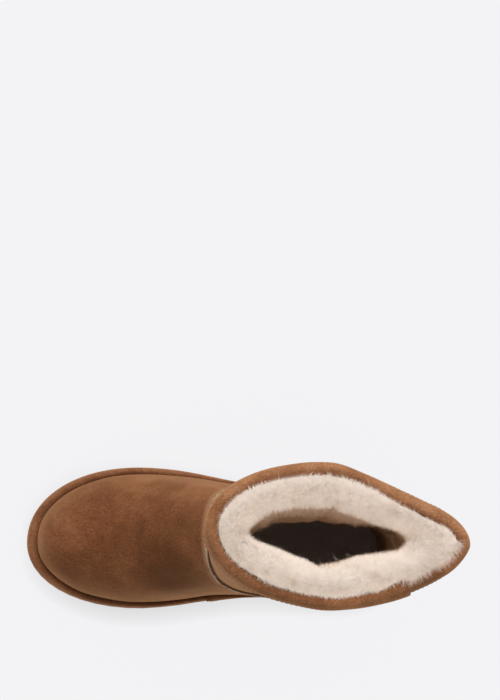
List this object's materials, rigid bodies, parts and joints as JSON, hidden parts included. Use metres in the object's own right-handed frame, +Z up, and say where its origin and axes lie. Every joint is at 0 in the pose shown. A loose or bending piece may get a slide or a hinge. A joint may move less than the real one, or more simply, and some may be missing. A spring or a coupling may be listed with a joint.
{
  "type": "short pull-on sheepskin boot",
  "caption": "Short pull-on sheepskin boot for the right foot: suede outside, deep wool inside, flat moulded sole with a soft rand, bound collar left open for the leg.",
  "frame": {"origin": "on the floor under the middle of the boot's box", "axes": "+X towards the toe, +Y towards the inner (medial) side of the foot, +Z up"},
  "size_m": [0.2762, 0.1006, 0.2164],
  "materials": {
    "suede": "brown napped suede, the skin side of the sheepskin",
    "binding_suede": "lighter tan suede tape",
    "wool": "cream sheep's wool, clipped and dense",
    "sole_foam": "matt moulded foam rubber, tan brown",
    "thread": "cream sewing thread"
  },
  "bodies": {
    "root": {"outsole": "sole_foam", "rand": "suede", "upper": "suede", "insole": "wool", "collar_binding": "binding_suede", "heel_counter": "suede"}
  },
  "joints": []
}
